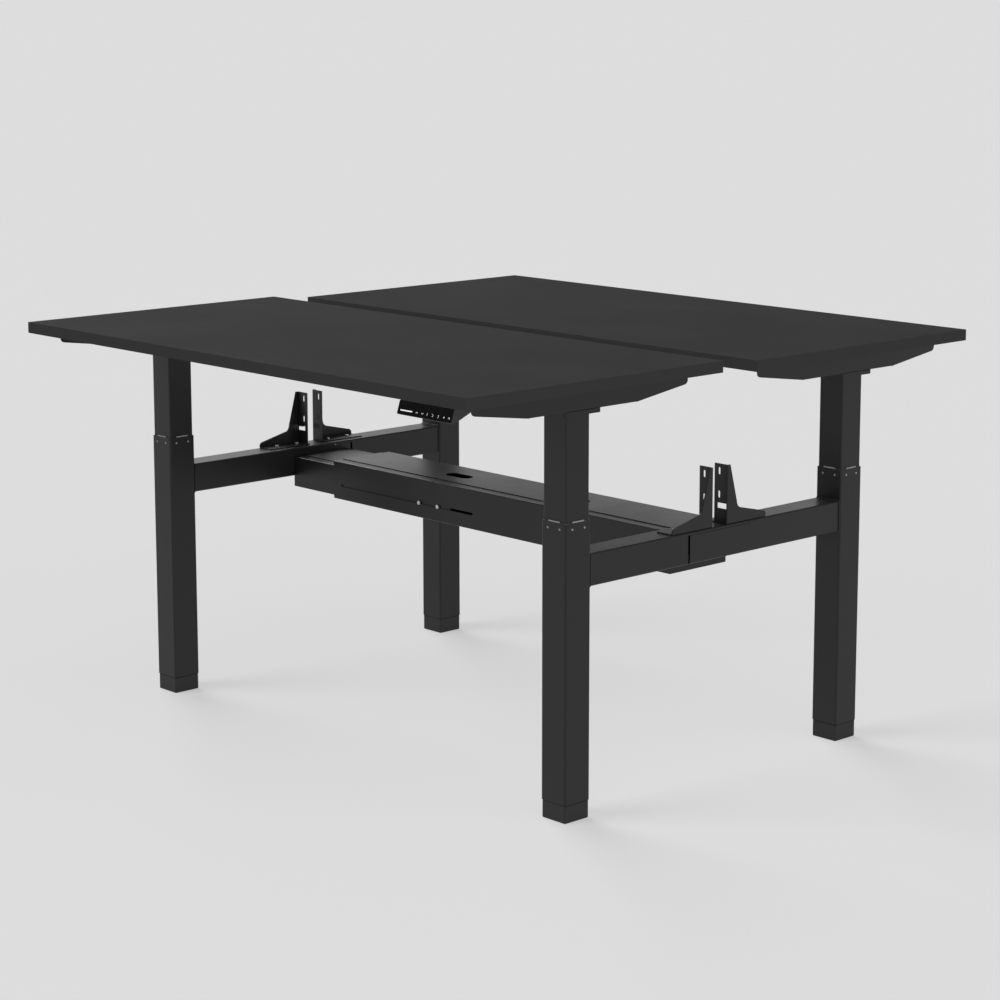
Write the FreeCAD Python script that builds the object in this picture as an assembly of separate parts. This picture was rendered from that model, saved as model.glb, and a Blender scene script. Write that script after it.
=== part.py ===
import FreeCAD, Part
import math
import os

# Back-to-back sit-stand desk for two people.  Millimetres, +Z up, origin on the floor under the
# middle of the whole desk.  X runs along the desktops, Y from the front desk (-Y) to the rear (+Y).

# ---- desktops
TOP_LENGTH = 1500.0
TOP_DEPTH = 710.0
TOP_THICK = 25.0
TOP_GAP = 106.0                 # clear space between the two desktops, for a screen and its cables
FRONT_HEIGHT = 913.0            # each desk is set to its own height
REAR_HEIGHT = 903.0
TOP_EDGE_ROUND = 0.8

# ---- legs
LEG_INSET_X = 82.0              # end of the desktop to the leg's axis
LEG_OFF_MIDDLE = 15.0           # leg's axis beyond the middle of the desktop's depth
OUTER_SIDE = 70.0
OUTER_WALL = 1.5
OUTER_ROUND = 4.0
OUTER_TOP = 620.0
INNER_WALL = 1.5
INNER_ROUND = 3.0
INNER_LENGTH = 576.0
GLIDE_WALL = 0.92               # glide bush, between the two tubes
GLIDE_RUNNING = 0.08            # glide bush to upper tube, each side
GLIDE_DEPTH = 60.0
GLIDE_LIP_HIGH = 2.5
GLIDE_LIP_LONG = 32.0
PIP_R = 2.3                     # snap pips that hold the bush in the lower tube
PIP_SPACING = 34.0
PIP_DROP = 13.0
PIP_PROUD = 0.3
PIP_PLAY = 0.1

# ---- levelling feet
FOOT_HEIGHT = 38.0
FOOT_INSET = 1.0                # the shoe is this much smaller than the tube, each side
FOOT_GAP = 0.5                  # shoe to tube when screwed right in
FOOT_BEVEL = 1.2
FOOT_TRAVEL = 12.0
STUD_R = 6.0
STUD_PLAY = 0.05
STUD_SUNK = 26.0

# ---- lifting columns
FLOOR_PLATE = 6.0
FLOOR_PLATE_Z = 42.0
PUSH_R = 14.0
PUSH_WALL = 1.5
NUT_R = 15.0
NUT_HIGH = 30.0
PUSH_TOP = 545.0
SPINDLE_R = 7.0
SPINDLE_PLAY = 0.05
SPINDLE_LENGTH = 562.0          # threaded part below the leg plate's underside
JOURNAL_R = 6.0
JOURNAL_LONG = 30.0             # plain end, from the leg plate's top face up into the gearbox

# ---- side arms and their plates
ARM_SHORT = 55.0                # the arm is this much shorter than half the desktop's depth
ARM_FLAT = 150.0                # middle of the arm to the start of the taper
ARM_OVER_TUBE = 3.0             # arm wider than the upper tube
ARM_MID = 43.5                  # depth at the leg
ARM_TIP = 22.0                  # depth at the tip
ARM_TIP_ROUND = 10.0
ARM_SHEET = 2.5
ARM_FOLD = 2.5                  # outer radius of the folds along the underside
TAB_LONG = 26.0
TAB_WIDE = 20.0
FLANGE_END = 14.0               # the arm's top flange stops this far from each tip
OUTER_SCREW_END = 60.0          # tip to the screws through the flange
INNER_SCREW_END = 30.0          # end of the channel to the screws on the inner side
PLATE_OVER = 33.0               # plate beyond the upper tube, on the motor's side
PLATE_BACK = 4.0                # and on the other side
PLATE_THICK = 9.0
PLATE_ROUND = 8.0
PLATE_HOLE_R = 12.0
PLATE_BOLT_X = 44.0
PLATE_BOLT_OUT = 50.0           # leg's axis to the bolts on the motor's side
PLATE_BOLT_IN = 22.0            # and to the bolts inside the tube

# ---- top rails, gearmotors, control box
RAIL_HIGH = 38.0
RAIL_WIDE = 25.0
RAIL_WALL = 1.5
RAIL_OFFSET = 110.0
GEAR_SIDE = 56.0
GEAR_HIGH = 38.0
MOTOR_R = 17.0
MOTOR_LONG = 104.0
BOX_LONG = 300.0
BOX_DEEP = 100.0
BOX_HIGH = 32.0
BOX_X = -150.0
SOCKET_WIDE = 15.0
SOCKET_HIGH = 12.0
SOCKET_DEEP = 11.0
SOCKET_PITCH = 34.0

# ---- touch handsets
HANDSET_END = 38.0              # end of the desktop to the end of the case
HANDSET_LONG = 156.0
HANDSET_FACE = 28.0
HANDSET_TILT = 18.0
HANDSET_CLEAR = 3.0             # back of the case to the tip of the side arm
GLASS_THICK = 1.6

# ---- crossbeams
BEAM_WIDE = 64.0
BEAM_HIGH = 68.0
BEAM_WALL = 2.0
BEAM_TOP = 550.0
BEAM_ROUND = 3.0
SEAM_Y = -96.0                  # the two halves meet here, nearer the front desk
SEAM_GAP = 6.0
TONGUE_END = 91.0               # the front half's top laps over the rear half as far as this
TONGUE_HIGH = 6.0
TONGUE_PLAY = 0.8
SPLICE_REACH = 96.0             # splice channel inside the beam, each way from the seam
SPLICE_THICK = 3.0
SPLICE_HIGH = 18.0
SPLICE_PLAY = 1.0
SPLICE_BOLT_X = 16.0            # bolts up through the beam's floor, from its middle line
SPLICE_BOLT_OFF = (26.0, 70.0)  # and from the seam
BUTTON_R = 7.0
BUTTON_HIGH = 2.2

# ---- cable tray
TRAY_DROP = 9.0                 # beam's top to the tray's rims
TRAY_HIGH = 92.0
TRAY_HALF = 88.0
TRAY_WALL = 1.5
TRAY_FOLD = 2.0
TRAY_RIM = 50.0                 # the in-turned rims leave the middle open out to here
TRAY_LEFT_END = -480.0
SLIDE_PLAY = 0.5                # inner channel to outer channel, each side
INNER_DROP = 11.0               # inner channel's top below the outer's
INNER_RISE = 7.0                # inner channel's underside above the outer's
INNER_END = -60.0
LID_HALF = 60.0
LID_THICK = 1.5
LID_LIP = 8.0
LID_LIP_SHORT = 6.0
LID_PLAY = 0.5
LID_END_PLAY = 1.0
PORT_X = (-124.0, 264.0)
PORT_LONG = 80.0
PORT_WIDE = 34.0
SLOT_FROM = -452.0
SLOT_TO = 19.0
SLOT_HIGH = 6.0
SLOT_DROP = 56.5                # tray's rims to the middle of the slots
CLAMP_X = (-165.0, -100.0)
END_BOLT_Y = 25.0
END_BOLT_DROP = 45.5            # beam's top to the bolts of the tray's ends

# ---- screen brackets
BRACKET_SHEET = 2.5
BRACKET_FOLD = 2.2
BRACKET_Y = 22.0                # each bracket starts this far from the middle
BRACKET_FOOT = 145.0
BRACKET_HIGH = 128.0
BRACKET_EDGE = 2.0              # set back from the beam's outer face
BRACKET_BASE = 44.0
BRACKET_FLANGE = 37.0
BRACKET_BOLT_Y = (50.0, 111.0)
BRACKET_BOLT_IN = 26.0          # outer edge of the bracket to the bolt line
SCREEN_SLOT_IN = 24.0
SCREEN_SLOT_Z = (62.0, 112.5)
SCREEN_SLOT_R = 3.3
SCREEN_SLOT_LONG = 16.0
WINDOW_LOW = 32.0
WINDOW_HIGH = 12.0

# ---- fasteners
M6_R = 3.0
HOLE_PLAY = 0.2
WOOD_SCREW_R = 2.4
WOOD_PILOT_R = 2.6
WOOD_SCREW_IN = 16.0

# ---- places worked out from the sizes above
LEG_X = TOP_LENGTH / 2 - LEG_INSET_X
LEG_Y = TOP_GAP / 2 + TOP_DEPTH / 2 + LEG_OFF_MIDDLE
INNER_SIDE = OUTER_SIDE - 2 * (OUTER_WALL + GLIDE_WALL + GLIDE_RUNNING)
ARM_Y = TOP_GAP / 2 + TOP_DEPTH / 2
ARM_HALF = TOP_DEPTH / 2 - ARM_SHORT
ARM_WIDE = INNER_SIDE + ARM_OVER_TUBE
PLATE_WIDE = ARM_WIDE
HANDSET_X = TOP_LENGTH / 2 - HANDSET_END - HANDSET_LONG / 2
BEAM_LOW = BEAM_TOP - BEAM_HIGH
BEAM_IN = LEG_X - BEAM_WIDE / 2
BEAM_OUT = LEG_X + BEAM_WIDE / 2
LEG_NEAR_FACE = LEG_Y - OUTER_SIDE / 2
TRAY_TOP = BEAM_TOP - TRAY_DROP
INNER_TOP = TRAY_TOP - INNER_DROP
INNER_LOW = TRAY_TOP - TRAY_HIGH + INNER_RISE
SLOT_Z = TRAY_TOP - SLOT_DROP
END_BOLT_Z = BEAM_TOP - END_BOLT_DROP
SIDES = {"left": -1, "right": 1}
DESKS = {"front": (-1, FRONT_HEIGHT - TOP_THICK), "rear": (1, REAR_HEIGHT - TOP_THICK)}
V = FreeCAD.Vector


# ---------------------------------------------------------------- shapes
def box(x0, x1, y0, y1, z0, z1):
    """Box between two corners, given in any order."""
    low = V(min(x0, x1), min(y0, y1), min(z0, z1))
    return Part.makeBox(abs(x1 - x0), abs(y1 - y0), abs(z1 - z0), low)


def rod(radius, x, y, z0, z1):
    """Upright cylinder."""
    return Part.makeCylinder(radius, z1 - z0, V(x, y, z0))


def bar(half_x, half_y, round_r, x, y, z0, z1):
    """Upright prism with a rounded rectangular section."""
    solid = box(x - half_x, x + half_x, y - half_y, y + half_y, z0, z1)
    if round_r <= 0:
        return solid
    upright = [e for e in solid.Edges if abs(e.tangentAt(e.FirstParameter).z) > 0.9]
    return solid.makeFillet(round_r, upright)


def square_tube(side, wall, round_r, x, y, z0, z1):
    """Upright square tube."""
    outside = bar(side / 2, side / 2, round_r, x, y, z0, z1)
    bore = side / 2 - wall
    return outside.cut(bar(bore, bore, max(round_r - wall, 0.5), x, y, z0 - 1, z1 + 1))


def beam_tube(x, y0, y1):
    """Rectangular tube that runs along Y between the legs."""
    def prism(half_x, low, high, round_r, a, b):
        solid = box(x - half_x, x + half_x, a, b, low, high)
        along = [e for e in solid.Edges if abs(e.tangentAt(e.FirstParameter).y) > 0.9]
        return solid.makeFillet(round_r, along)
    outside = prism(BEAM_WIDE / 2, BEAM_LOW, BEAM_TOP, BEAM_ROUND, y0, y1)
    inside = prism(BEAM_WIDE / 2 - BEAM_WALL, BEAM_LOW + BEAM_WALL, BEAM_TOP - BEAM_WALL,
                   BEAM_ROUND - BEAM_WALL, y0 - 1, y1 + 1)
    return outside.cut(inside)


def plate_yz(points, x0, x1):
    """Flat plate: an outline in the YZ plane, given as points and arcs, swept from x0 to x1."""
    edges = []
    here = points[0]
    for step in points[1:] + [points[0]]:
        if len(step) == 2:
            edges.append(Part.makeLine(V(x0, *here), V(x0, *step)))
            here = step
        else:
            middle, end = step[:2], step[2:]
            edges.append(Part.Arc(V(x0, *here), V(x0, *middle), V(x0, *end)).toShape())
            here = end
    return Part.Face(Part.Wire(edges)).extrude(V(x1 - x0, 0, 0))


def flip_y(points):
    """The same outline with Y reversed."""
    return [tuple(-v if i % 2 == 0 else v for i, v in enumerate(p)) for p in points]


def hexagon(radius, height, x, y, z):
    """Hexagon prism, across its corners 2 x radius, growing along +Z, or -Z if height < 0."""
    corners = [V(x + radius * math.cos(a), y + radius * math.sin(a), z)
               for a in (math.radians(60 * i) for i in range(7))]
    return Part.Face(Part.makePolygon(corners)).extrude(V(0, 0, height))


def hex_bolt(shank_r, x, y, z, shank, head_down):
    """Hex bolt whose head bears at z; the shank runs the other way."""
    way = 1 if head_down else -1
    head = hexagon(shank_r * 1.75, -way * shank_r * 1.2, x, y, z)
    body = rod(shank_r, x, y, min(z, z + way * shank), max(z, z + way * shank))
    return head.fuse(body).removeSplitter()


def turned(shape):
    """The same shape turned half a turn about the middle of the desk."""
    copy = shape.copy()
    copy.rotate(V(0, 0, 0), V(0, 0, 1), 180)
    return copy


def group(solids):
    """Several separate solids in one node."""
    return Part.makeCompound(solids)


# ---------------------------------------------------------------- legs
def lower_tube(x, y):
    tube = square_tube(OUTER_SIDE, OUTER_WALL, OUTER_ROUND, x, y, FOOT_HEIGHT, OUTER_TOP)
    z = OUTER_TOP - PIP_DROP
    reach = OUTER_SIDE + 10
    for off in (-PIP_SPACING / 2, PIP_SPACING / 2):
        along_x = Part.makeCylinder(PIP_R + PIP_PLAY, reach, V(x - reach / 2, y + off, z), V(1, 0, 0))
        along_y = Part.makeCylinder(PIP_R + PIP_PLAY, reach, V(x + off, y - reach / 2, z), V(0, 1, 0))
        tube = tube.cut(along_x).cut(along_y)
    return tube


def glide_bush(x, y):
    outer = OUTER_SIDE / 2 - OUTER_WALL
    inner = INNER_SIDE / 2 + GLIDE_RUNNING
    z0, z1 = OUTER_TOP - GLIDE_DEPTH, OUTER_TOP
    bush = bar(outer, outer, OUTER_ROUND - OUTER_WALL, x, y, z0, z1)
    rim = OUTER_SIDE / 2 - 0.4
    lip = GLIDE_LIP_LONG / 2
    bush = bush.fuse(box(x - rim, x + rim, y - lip, y + lip, z1, z1 + GLIDE_LIP_HIGH))
    bush = bush.fuse(box(x - lip, x + lip, y - rim, y + rim, z1, z1 + GLIDE_LIP_HIGH))
    half = OUTER_SIDE / 2 + PIP_PROUD
    for off in (-PIP_SPACING / 2, PIP_SPACING / 2):
        base_x = V(x - half, y + off, z1 - PIP_DROP)
        base_y = V(x + off, y - half, z1 - PIP_DROP)
        bush = bush.fuse(Part.makeCylinder(PIP_R, 2 * half, base_x, V(1, 0, 0)))
        bush = bush.fuse(Part.makeCylinder(PIP_R, 2 * half, base_y, V(0, 1, 0)))
    bore = bar(inner, inner, INNER_ROUND + GLIDE_RUNNING, x, y, z0 - 1, z1 + GLIDE_LIP_HIGH + 1)
    return bush.cut(bore).removeSplitter()


def foot(x, y):
    half = OUTER_SIDE / 2 - FOOT_INSET
    top = FOOT_HEIGHT - FOOT_GAP
    shoe = bar(half, half, OUTER_ROUND, x, y, 0, top)
    rims = [e for e in shoe.Edges if e.BoundBox.ZLength < 0.01]
    shoe = shoe.makeChamfer(FOOT_BEVEL, rims)
    stud_base = top - STUD_SUNK
    shoe = shoe.cut(rod(STUD_R, x, y, stud_base, top + 1))
    stud_top = FLOOR_PLATE_Z + FLOOR_PLATE + FOOT_TRAVEL + 2
    return group([shoe, rod(STUD_R, x, y, stud_base, stud_top)])


def push_column(x, y):
    half = OUTER_SIDE / 2 - OUTER_WALL
    floor_top = FLOOR_PLATE_Z + FLOOR_PLATE
    plate = bar(half, half, OUTER_ROUND - OUTER_WALL, x, y, FLOOR_PLATE_Z, floor_top)
    plate = plate.cut(rod(STUD_R + STUD_PLAY, x, y, FLOOR_PLATE_Z - 1, floor_top + 1))
    tube = rod(PUSH_R, x, y, floor_top, PUSH_TOP)
    tube = tube.cut(rod(PUSH_R - PUSH_WALL, x, y, floor_top - 1, PUSH_TOP + 1))
    return plate.fuse(tube)


def spindle_nut(x, y):
    nut = rod(NUT_R, x, y, PUSH_TOP, PUSH_TOP + NUT_HIGH)
    nut = nut.fuse(rod(PUSH_R - PUSH_WALL, x, y, PUSH_TOP - 12, PUSH_TOP))
    return nut.cut(rod(SPINDLE_R + SPINDLE_PLAY, x, y, PUSH_TOP - 13, PUSH_TOP + NUT_HIGH + 1))


def plate_under(under):
    """Height of the leg plate's underside, for a desktop whose underside is at under."""
    return under - ARM_MID - PLATE_THICK


def upper_tube(x, y, under):
    top = plate_under(under)
    return square_tube(INNER_SIDE, INNER_WALL, INNER_ROUND, x, y, top - INNER_LENGTH, top)


def leg_plate(x, y, way, under):
    """The four legs are alike, and a leg at the other side is turned half round: way is its side."""
    low = plate_under(under)
    middle = y + way * (PLATE_OVER - PLATE_BACK) / 2
    half = (INNER_SIDE + PLATE_OVER + PLATE_BACK) / 2
    plate = bar(PLATE_WIDE / 2, half, PLATE_ROUND, x, middle, low, low + PLATE_THICK)
    plate = plate.cut(rod(PLATE_HOLE_R, x, y, low - 1, low + PLATE_THICK + 1))
    for bx, by in plate_bolts(x, y, way):
        plate = plate.cut(rod(M6_R + HOLE_PLAY, bx, by, low - 1, low + PLATE_THICK + 1))
    return plate


def plate_bolts(x, y, way):
    return [(x + i * PLATE_BOLT_X / 2, y + way * off) for i in (-1, 1)
            for off in (PLATE_BOLT_OUT, -PLATE_BOLT_IN)]


def spindle(x, y, under):
    low = plate_under(under)
    thread = rod(SPINDLE_R, x, y, low - SPINDLE_LENGTH, low)
    neck = rod(JOURNAL_R, x, y, low, low + PLATE_THICK + JOURNAL_LONG)
    return thread.fuse(neck)


# ---------------------------------------------------------------- side arms
def arm_outline(under, y, inset):
    """Side view of an arm; inset shrinks it all round except along the top."""
    half, flat = ARM_HALF - inset, ARM_FLAT
    tip, mid = under - ARM_TIP + inset, under - ARM_MID + inset
    r = ARM_TIP_ROUND - inset
    taper = math.atan2(tip - mid, half - flat)
    reach = r / math.tan((math.pi / 2 + taper) / 2)     # corner to where the round starts
    part = 1 - r / math.hypot(r, reach)
    upright, middle = tip + reach, (half - r * part, tip + reach * part)
    low = (half - reach * math.cos(taper), tip - reach * math.sin(taper))
    return [(y - half, under), (y - half, upright), (y - middle[0], middle[1], y - low[0], low[1]),
            (y - flat, mid), (y + flat, mid), (y + low[0], low[1]),
            (y + middle[0], middle[1], y + half, upright), (y + half, under)]


def arm(x, y, mid_y, way, under):
    """Folded sheet: a web with a top flange along the whole outer side, and a channel over the leg."""
    half, low = ARM_WIDE / 2, under - ARM_MID
    channel_low = box(x - half, x + half, mid_y - ARM_FLAT, mid_y + ARM_FLAT, low, under)
    folds = [e for e in channel_low.Edges if e.BoundBox.YLength > 1 and e.BoundBox.ZMax < low + 1]
    body = channel_low.makeFillet(ARM_FOLD, folds)
    outer = x + way * half
    web = plate_yz(arm_outline(under, mid_y, 0.0), outer, outer - way * ARM_SHEET)
    body = body.fuse(web.cut(channel_low))
    body = body.cut(box(x - half + ARM_SHEET, x + half - ARM_SHEET, mid_y - ARM_FLAT - 1,
                        mid_y + ARM_FLAT + 1, low + ARM_SHEET, under + 1))
    reach = ARM_HALF - FLANGE_END
    body = body.fuse(box(outer, outer - way * TAB_WIDE, mid_y - reach, mid_y + reach,
                         under - ARM_SHEET, under))
    inner = x - way * half
    for j in (-1, 1):
        ty = mid_y + j * (ARM_FLAT - INNER_SCREW_END)
        body = body.fuse(box(inner, inner + way * TAB_WIDE, ty - TAB_LONG / 2, ty + TAB_LONG / 2,
                             under - ARM_SHEET, under))
    for tx, ty in tab_places(x, mid_y, way):
        body = body.cut(rod(WOOD_PILOT_R, tx, ty, under - 5, under + 1))
    body = body.cut(rod(PLATE_HOLE_R, x, y, low - 1, low + ARM_SHEET + 1))
    for bx, by in plate_bolts(x, y, way):
        body = body.cut(rod(M6_R + HOLE_PLAY, bx, by, low - 1, low + ARM_SHEET + 1))
    return body.removeSplitter()


def tab_places(x, y, way):
    """Wood screws of an arm: two through its flange near the tips, two through the inner tabs."""
    reach = ARM_WIDE / 2 - ARM_SHEET / 2 - TAB_WIDE / 2
    outer, inner = ARM_HALF - OUTER_SCREW_END, ARM_FLAT - INNER_SCREW_END
    return [(x + way * reach, y - outer), (x + way * reach, y + outer),
            (x - way * reach, y - inner), (x - way * reach, y + inner)]


def gearmotor(x, y, way, under):
    """Gearbox on the spindle, with the motor lying along the arm."""
    low = under - ARM_MID + ARM_SHEET
    half = GEAR_SIDE / 2
    gear = bar(half, half, 4.0, x, y, low, low + GEAR_HIGH)
    bore = JOURNAL_R + SPINDLE_PLAY
    gear = gear.cut(rod(bore, x, y, low - 1, under - ARM_MID + JOURNAL_LONG + 1))
    mid = V(x, y + way * (half - 1), low + GEAR_HIGH / 2)
    motor = Part.makeCylinder(MOTOR_R, MOTOR_LONG, mid, V(0, way, 0))
    return gear.fuse(motor)


def top_rails(y, under):
    """Two rails that join the arms under the desktop."""
    half = LEG_X - ARM_WIDE / 2
    rails = []
    for off in (-RAIL_OFFSET, RAIL_OFFSET):
        a, b = y + off - RAIL_WIDE / 2, y + off + RAIL_WIDE / 2
        outside = box(-half, half, a, b, under - RAIL_HIGH, under)
        inside = box(-half - 1, half + 1, a + RAIL_WALL, b - RAIL_WALL,
                     under - RAIL_HIGH + RAIL_WALL, under - RAIL_WALL)
        rails.append(outside.cut(inside))
    return group(rails)


def control_box(x, y, under):
    low = under - BOX_HIGH
    case = bar(BOX_LONG / 2, BOX_DEEP / 2, 5.0, x, y, low, under)
    for i in (-1.5, -0.5, 0.5, 1.5):
        sx = x + i * SOCKET_PITCH
        z = under - BOX_HIGH / 2
        case = case.cut(box(sx - SOCKET_WIDE / 2, sx + SOCKET_WIDE / 2, y - BOX_DEEP / 2 - 1,
                            y - BOX_DEEP / 2 + SOCKET_DEEP, z - SOCKET_HIGH / 2, z + SOCKET_HIGH / 2))
    return case


def fixing_screws(y, mid_y, under):
    """Wood screws through the arms' tabs, and bolts that hold each leg plate to its arm."""
    screws = []
    for sx in SIDES.values():
        for tx, ty in tab_places(sx * LEG_X, mid_y, sx):
            shank = rod(WOOD_SCREW_R, tx, ty, under - ARM_SHEET, under + WOOD_SCREW_IN)
            head = rod(WOOD_SCREW_R * 2, tx, ty, under - ARM_SHEET - 3, under - ARM_SHEET)
            screws.append(shank.fuse(head))
        low, grip = plate_under(under), PLATE_THICK + ARM_SHEET
        for bx, by in plate_bolts(sx * LEG_X, y, sx):
            in_tube = abs(by - y) < INNER_SIDE / 2
            screws.append(hex_bolt(M6_R, bx, by, low if in_tube else low + grip, grip, in_tube))
    return group(screws)


def desktop(sy, under):
    """Board with its pilot holes for the arm screws."""
    a, b = sy * TOP_GAP / 2, sy * (TOP_GAP / 2 + TOP_DEPTH)
    board = box(-TOP_LENGTH / 2, TOP_LENGTH / 2, a, b, under, under + TOP_THICK)
    board = board.makeFillet(TOP_EDGE_ROUND, board.Edges)
    for sx in SIDES.values():
        for tx, ty in tab_places(sx * LEG_X, sy * ARM_Y, sx):
            board = board.cut(rod(WOOD_PILOT_R, tx, ty, under - 1, under + WOOD_SCREW_IN + 1))
    return board


# ---------------------------------------------------------------- handsets
def handset(under):
    """Front desk's touch handset: a wedge case under the edge, with a glass face tilted upwards."""
    x0, x1 = HANDSET_X - HANDSET_LONG / 2, HANDSET_X + HANDSET_LONG / 2
    tilt = math.radians(HANDSET_TILT)
    down = (-math.sin(tilt), -math.cos(tilt))       # along the face, towards its lower edge
    out = (-math.cos(tilt), math.sin(tilt))         # out of the face
    front = -(TOP_GAP / 2 + TOP_DEPTH)
    top = (front + 1.0, under)

    def at(along, off):
        return (top[0] + along * down[0] + off * out[0], top[1] + along * down[1] + off * out[1])

    back = -(ARM_Y + ARM_HALF + HANDSET_CLEAR)
    case = plate_yz([at(0.7, -GLASS_THICK), at(HANDSET_FACE, -GLASS_THICK), at(HANDSET_FACE, -9.0),
                     (back, under - 8.0), (back, under), (at(0, -GLASS_THICK)[0] + 1.5, under)], x0, x1)
    glass = plate_yz([at(0.7, 0), at(HANDSET_FACE, 0), at(HANDSET_FACE, -GLASS_THICK),
                      at(0.7, -GLASS_THICK)], x0, x1)
    ends = [e for e in glass.Edges if e.Length < GLASS_THICK * 1.01 and e.BoundBox.XLength < 0.01]
    return case, glass.makeFillet(2.0, ends)


# ---------------------------------------------------------------- crossbeams
def bolt_row():
    """Bolts through the right beam's floor into its splice, on both sides of the seam."""
    return [(LEG_X + i * SPLICE_BOLT_X, SEAM_Y + way * off)
            for i in (-1, 1) for way in (-1, 1) for off in SPLICE_BOLT_OFF]


def bracket_bolt_x(sx):
    return sx * (BEAM_OUT - BRACKET_EDGE - BRACKET_BOLT_IN)


def drill_beam(shape):
    for bx, by in bolt_row():
        shape = shape.cut(rod(M6_R + HOLE_PLAY, bx, by, BEAM_LOW - 1, BEAM_LOW + BEAM_WALL + 1))
    for sy in (-1, 1):
        for y in BRACKET_BOLT_Y:
            shape = shape.cut(rod(M6_R + HOLE_PLAY, bracket_bolt_x(1), sy * y,
                                  BEAM_TOP - BEAM_WALL - 1, BEAM_TOP + 1))
    return shape


def front_beam():
    """Front half of the right beam: its top carries on past the seam as a tongue over the rear half."""
    x = LEG_X
    full = beam_tube(x, -LEG_NEAR_FACE, TONGUE_END)
    below = box(x - BEAM_WIDE, x + BEAM_WIDE, SEAM_Y - SEAM_GAP / 2, TONGUE_END + 1,
                BEAM_LOW - 1, BEAM_TOP - TONGUE_HIGH)
    return drill_beam(full.cut(below))


def rear_beam():
    """Rear half of the right beam, cut down under the tongue."""
    x = LEG_X
    full = beam_tube(x, SEAM_Y + SEAM_GAP / 2, LEG_NEAR_FACE)
    above = box(x - BEAM_WIDE, x + BEAM_WIDE, SEAM_Y, TONGUE_END + TONGUE_PLAY,
                BEAM_TOP - TONGUE_HIGH - TONGUE_PLAY, BEAM_TOP + 1)
    full = full.cut(above)
    for cutter in end_holes(BEAM_IN):
        full = full.cut(cutter)
    return drill_beam(full)


def splice():
    """Channel inside the right beam, across the seam, bolted to the floors of both halves."""
    x, floor = LEG_X, BEAM_LOW + BEAM_WALL
    half = BEAM_WIDE / 2 - BEAM_WALL - SPLICE_PLAY
    y0, y1 = SEAM_Y - SPLICE_REACH, SEAM_Y + SPLICE_REACH
    body = box(x - half, x + half, y0, y1, floor, floor + SPLICE_HIGH)
    body = body.cut(box(x - half + SPLICE_THICK, x + half - SPLICE_THICK, y0 - 1, y1 + 1,
                        floor + SPLICE_THICK, floor + SPLICE_HIGH + 1))
    for bx, by in bolt_row():
        body = body.cut(rod(M6_R + HOLE_PLAY, bx, by, floor - 1, floor + SPLICE_THICK + 1))
    return body


def splice_bolts():
    """Low button heads under the beam, with nuts inside the splice."""
    bolts = []
    floor = BEAM_LOW + BEAM_WALL + SPLICE_THICK
    for bx, by in bolt_row():
        head = rod(BUTTON_R, bx, by, BEAM_LOW - BUTTON_HIGH, BEAM_LOW)
        shank = rod(M6_R, bx, by, BEAM_LOW, floor + M6_R * 2)
        bolt = head.fuse(shank).fuse(hexagon(M6_R * 1.75, M6_R * 1.6, bx, by, floor))
        bolts += [bolt, turned(bolt)]
    return group(bolts)


# ---------------------------------------------------------------- cable tray
def channel(x0, x1, half, low, high):
    """Tray channel: floor, two sides and two rims turned in at the top."""
    outside = box(x0, x1, -half, half, low, high)
    outside = outside.makeFillet(TRAY_FOLD, [e for e in outside.Edges if e.BoundBox.XLength > 1])
    hollow = box(x0 - 1, x1 + 1, -half + TRAY_WALL, half - TRAY_WALL, low + TRAY_WALL, high - TRAY_WALL)
    mouth = box(x0 - 1, x1 + 1, -TRAY_RIM, TRAY_RIM, high - TRAY_WALL - 1, high + 1)
    return outside.cut(hollow).cut(mouth)


def end_holes(x):
    """Cutters for the bolts that hold a tray end to its beam, centred on x."""
    return [Part.makeCylinder(M6_R + HOLE_PLAY, 20, V(x - 10, y, END_BOLT_Z), V(1, 0, 0))
            for y in (-END_BOLT_Y, END_BOLT_Y)]


def end_wall(x0, x1, half, low, high):
    """Closed end of a channel, drilled for its bolts."""
    wall = box(x0, x1, -half, half, low, high)
    wall = wall.makeFillet(TRAY_FOLD, [e for e in wall.Edges if e.BoundBox.XLength > 1])
    for cutter in end_holes((x0 + x1) / 2):
        wall = wall.cut(cutter)
    return wall


def tray_outer():
    low = TRAY_TOP - TRAY_HIGH
    body = channel(TRAY_LEFT_END, BEAM_IN, TRAY_HALF, low, TRAY_TOP)
    body = body.fuse(end_wall(BEAM_IN - TRAY_WALL, BEAM_IN, TRAY_HALF, low, TRAY_TOP))
    r = SLOT_HIGH / 2
    ends = [Part.makeCylinder(r, 2 * TRAY_HALF + 2, V(x, -TRAY_HALF - 1, SLOT_Z), V(0, 1, 0))
            for x in (SLOT_FROM + r, SLOT_TO - r)]
    middle = box(SLOT_FROM + r, SLOT_TO - r, -TRAY_HALF - 1, TRAY_HALF + 1, SLOT_Z - r, SLOT_Z + r)
    for cutter in ends + [middle]:
        body = body.cut(cutter)
    return body


def inner_half():
    return TRAY_HALF - TRAY_WALL - SLIDE_PLAY


def tray_inner():
    body = channel(-BEAM_IN, INNER_END, inner_half(), INNER_LOW, INNER_TOP)
    body = body.fuse(end_wall(-BEAM_IN, -BEAM_IN + TRAY_WALL, inner_half(), INNER_LOW, INNER_TOP))
    for x in CLAMP_X:
        body = body.cut(Part.makeCylinder(M6_R, 2 * TRAY_HALF + 2, V(x, -TRAY_HALF - 1, SLOT_Z), V(0, 1, 0)))
    return body


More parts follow.
